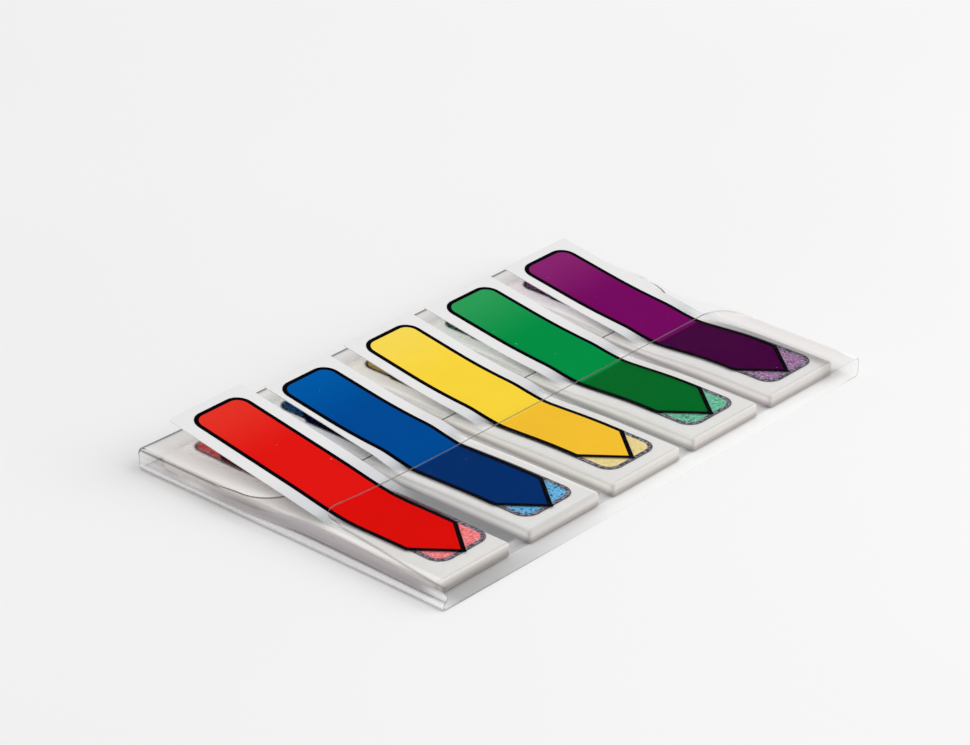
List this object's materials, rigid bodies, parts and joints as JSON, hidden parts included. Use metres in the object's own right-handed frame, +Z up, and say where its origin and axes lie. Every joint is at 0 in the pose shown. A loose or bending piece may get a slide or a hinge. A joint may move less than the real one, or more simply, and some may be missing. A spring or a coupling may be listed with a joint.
{
  "type": "sticky index tabs",
  "caption": "Pads of sticky film arrow flags side by side in a clear folded sleeve, with their top flags raised through its slot.",
  "frame": {"origin": "centre of the sleeve's footprint, at the surface it lies on", "axes": "+X across the pads, from the red pad to the purple one; +Y along the flags, from their printed arrow tips to their rounded ends; +Z up"},
  "size_m": [0.0737, 0.0476, 0.0063],
  "materials": {
    "clear_film": "clear, glossy, thin",
    "frosted_film": "frosted white film, satin",
    "black_ink": "printed, satin",
    "red_ink": "printed, satin",
    "blue_ink": "printed, satin",
    "yellow_ink": "printed, satin",
    "green_ink": "printed, satin",
    "purple_ink": "printed, satin"
  },
  "bodies": {
    "root": {"sleeve": "clear_film", "pad_red": "frosted_film", "next_outline_red": "black_ink", "next_field_red": "red_ink", "top_flag_red": "frosted_film", "top_outline_red": "black_ink", "top_field_red": "red_ink", "pad_blue": "frosted_film", "next_outline_blue": "black_ink", "next_field_blue": "blue_ink", "top_flag_blue": "frosted_film", "top_outline_blue": "black_ink", "top_field_blue": "blue_ink", "pad_yellow": "frosted_film", "next_outline_yellow": "black_ink", "next_field_yellow": "yellow_ink", "top_flag_yellow": "frosted_film", "top_outline_yellow": "black_ink", "top_field_yellow": "yellow_ink", "pad_green": "frosted_film", "next_outline_green": "black_ink", "next_field_green": "green_ink", "top_flag_green": "frosted_film", "top_outline_green": "black_ink", "top_field_green": "green_ink", "pad_purple": "frosted_film", "next_outline_purple": "black_ink", "next_field_purple": "purple_ink", "top_flag_purple": "frosted_film", "top_outline_purple": "black_ink", "top_field_purple": "purple_ink"}
  },
  "joints": []
}
